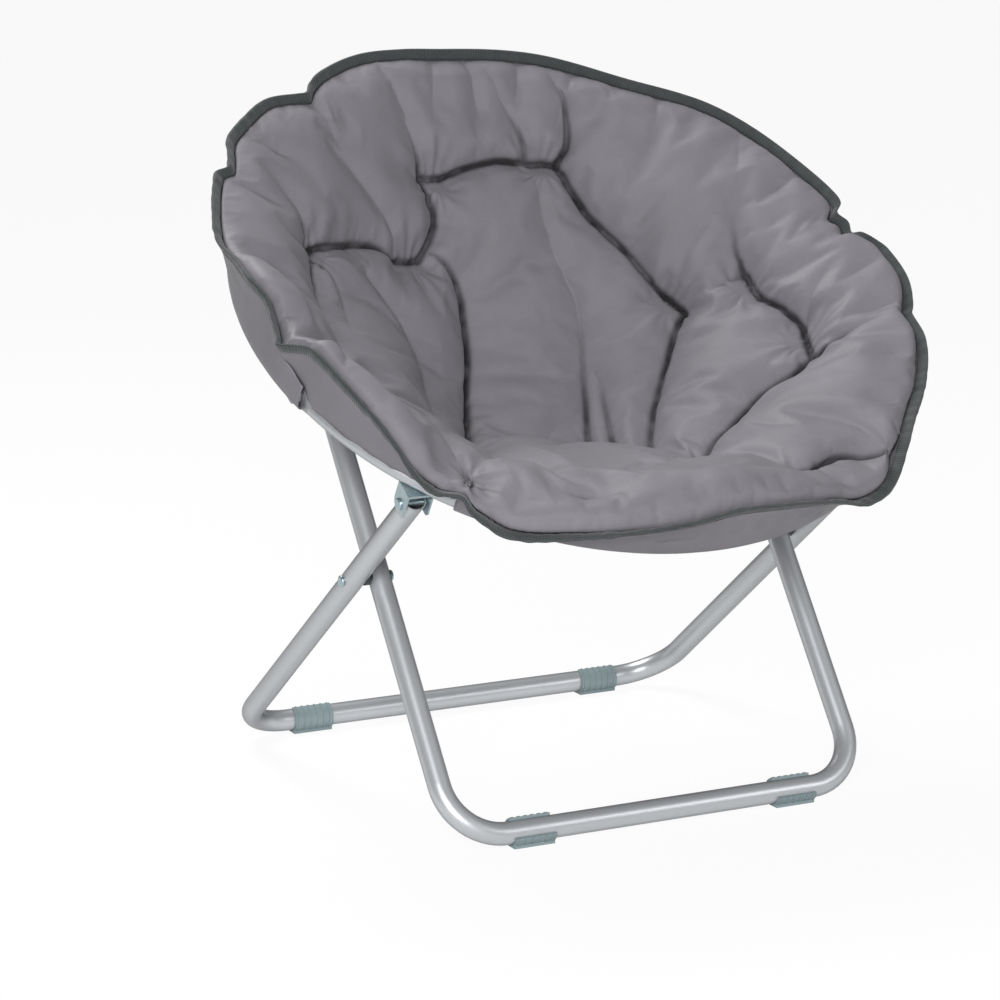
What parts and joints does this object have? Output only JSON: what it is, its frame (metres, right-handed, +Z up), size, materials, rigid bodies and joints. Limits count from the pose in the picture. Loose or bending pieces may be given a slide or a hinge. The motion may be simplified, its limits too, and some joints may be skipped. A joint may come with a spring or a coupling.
{
  "type": "folding saucer chair",
  "caption": "Folding saucer chair: padded round seat on a hinged tube hoop, carried by crossed U-shaped leg frames that fold together.",
  "frame": {"origin": "on the floor under the middle of the chair's bounding box, unfolded", "axes": "+X to the sitter's left, -Y the way the sitter faces, +Z up"},
  "size_m": [0.809, 0.685, 0.796],
  "materials": {
    "silver_tube": "silver powder coat",
    "zinc_plate": "zinc plated",
    "foot_plastic": "moulded grey-green",
    "spacer_plastic": "dark moulded",
    "seat_fabric": "grey satin polyester",
    "binding_tape": "dark grey woven tape"
  },
  "bodies": {
    "front_legs": {"front_leg_frame": "silver_tube", "front_foot_left": "foot_plastic", "front_foot_right": "foot_plastic", "cross_rivet_left": "zinc_plate", "cross_rivet_right": "zinc_plate", "cross_spacer_left": "spacer_plastic", "cross_spacer_right": "spacer_plastic"},
    "rear_ring": {"rear_hoop": "silver_tube", "rear_bracket_left": "zinc_plate", "rear_bracket_right": "zinc_plate", "rear_bracket_rivet_left": "zinc_plate", "rear_bracket_rivet_right": "zinc_plate", "ring_hinge_rivet_left": "zinc_plate", "ring_hinge_rivet_right": "zinc_plate", "ring_hinge_washer_left": "zinc_plate", "ring_hinge_washer_right": "zinc_plate", "rear_sleeve": "seat_fabric", "seat_shell": "seat_fabric", "seat_cushion": "seat_fabric", "rim_binding": "binding_tape"},
    "front_ring": {"front_hoop": "silver_tube", "front_bracket_left": "zinc_plate", "front_bracket_right": "zinc_plate", "front_bracket_rivet_left": "zinc_plate", "front_bracket_rivet_right": "zinc_plate", "front_sleeve": "seat_fabric"},
    "rear_legs": {"rear_leg_frame": "silver_tube", "rear_foot_left": "foot_plastic", "rear_foot_right": "foot_plastic", "cross_head_left": "zinc_plate", "cross_head_right": "zinc_plate"}
  },
  "joints": [
    {"name": "rear_bracket_pivot", "type": "hinge", "parent": "front_legs", "child": "rear_ring", "pos_m": [0, 0.26494, 0.64522], "axis": [1, 0, 0], "range_deg": [0, 37.85]},
    {"name": "ring_fold", "type": "hinge", "parent": "rear_ring", "child": "front_ring", "pos_m": [0, -0.06128, 0.47666], "axis": [1, 0, 0], "range_deg": [-138, 0], "deforming": ["seat_cushion", "seat_shell", "rim_binding"]},
    {"name": "front_bracket_pivot", "type": "hinge", "parent": "front_ring", "child": "rear_legs", "pos_m": [0, -0.17389, 0.37419], "axis": [1, 0, 0], "range_deg": [0, 31.48]}
  ],
  "couplings": [
    {"joint": "rear_bracket_pivot", "follows": "ring_fold", "ratio": -0.27282},
    {"joint": "front_bracket_pivot", "follows": "ring_fold", "ratio": -0.22663}
  ]
}
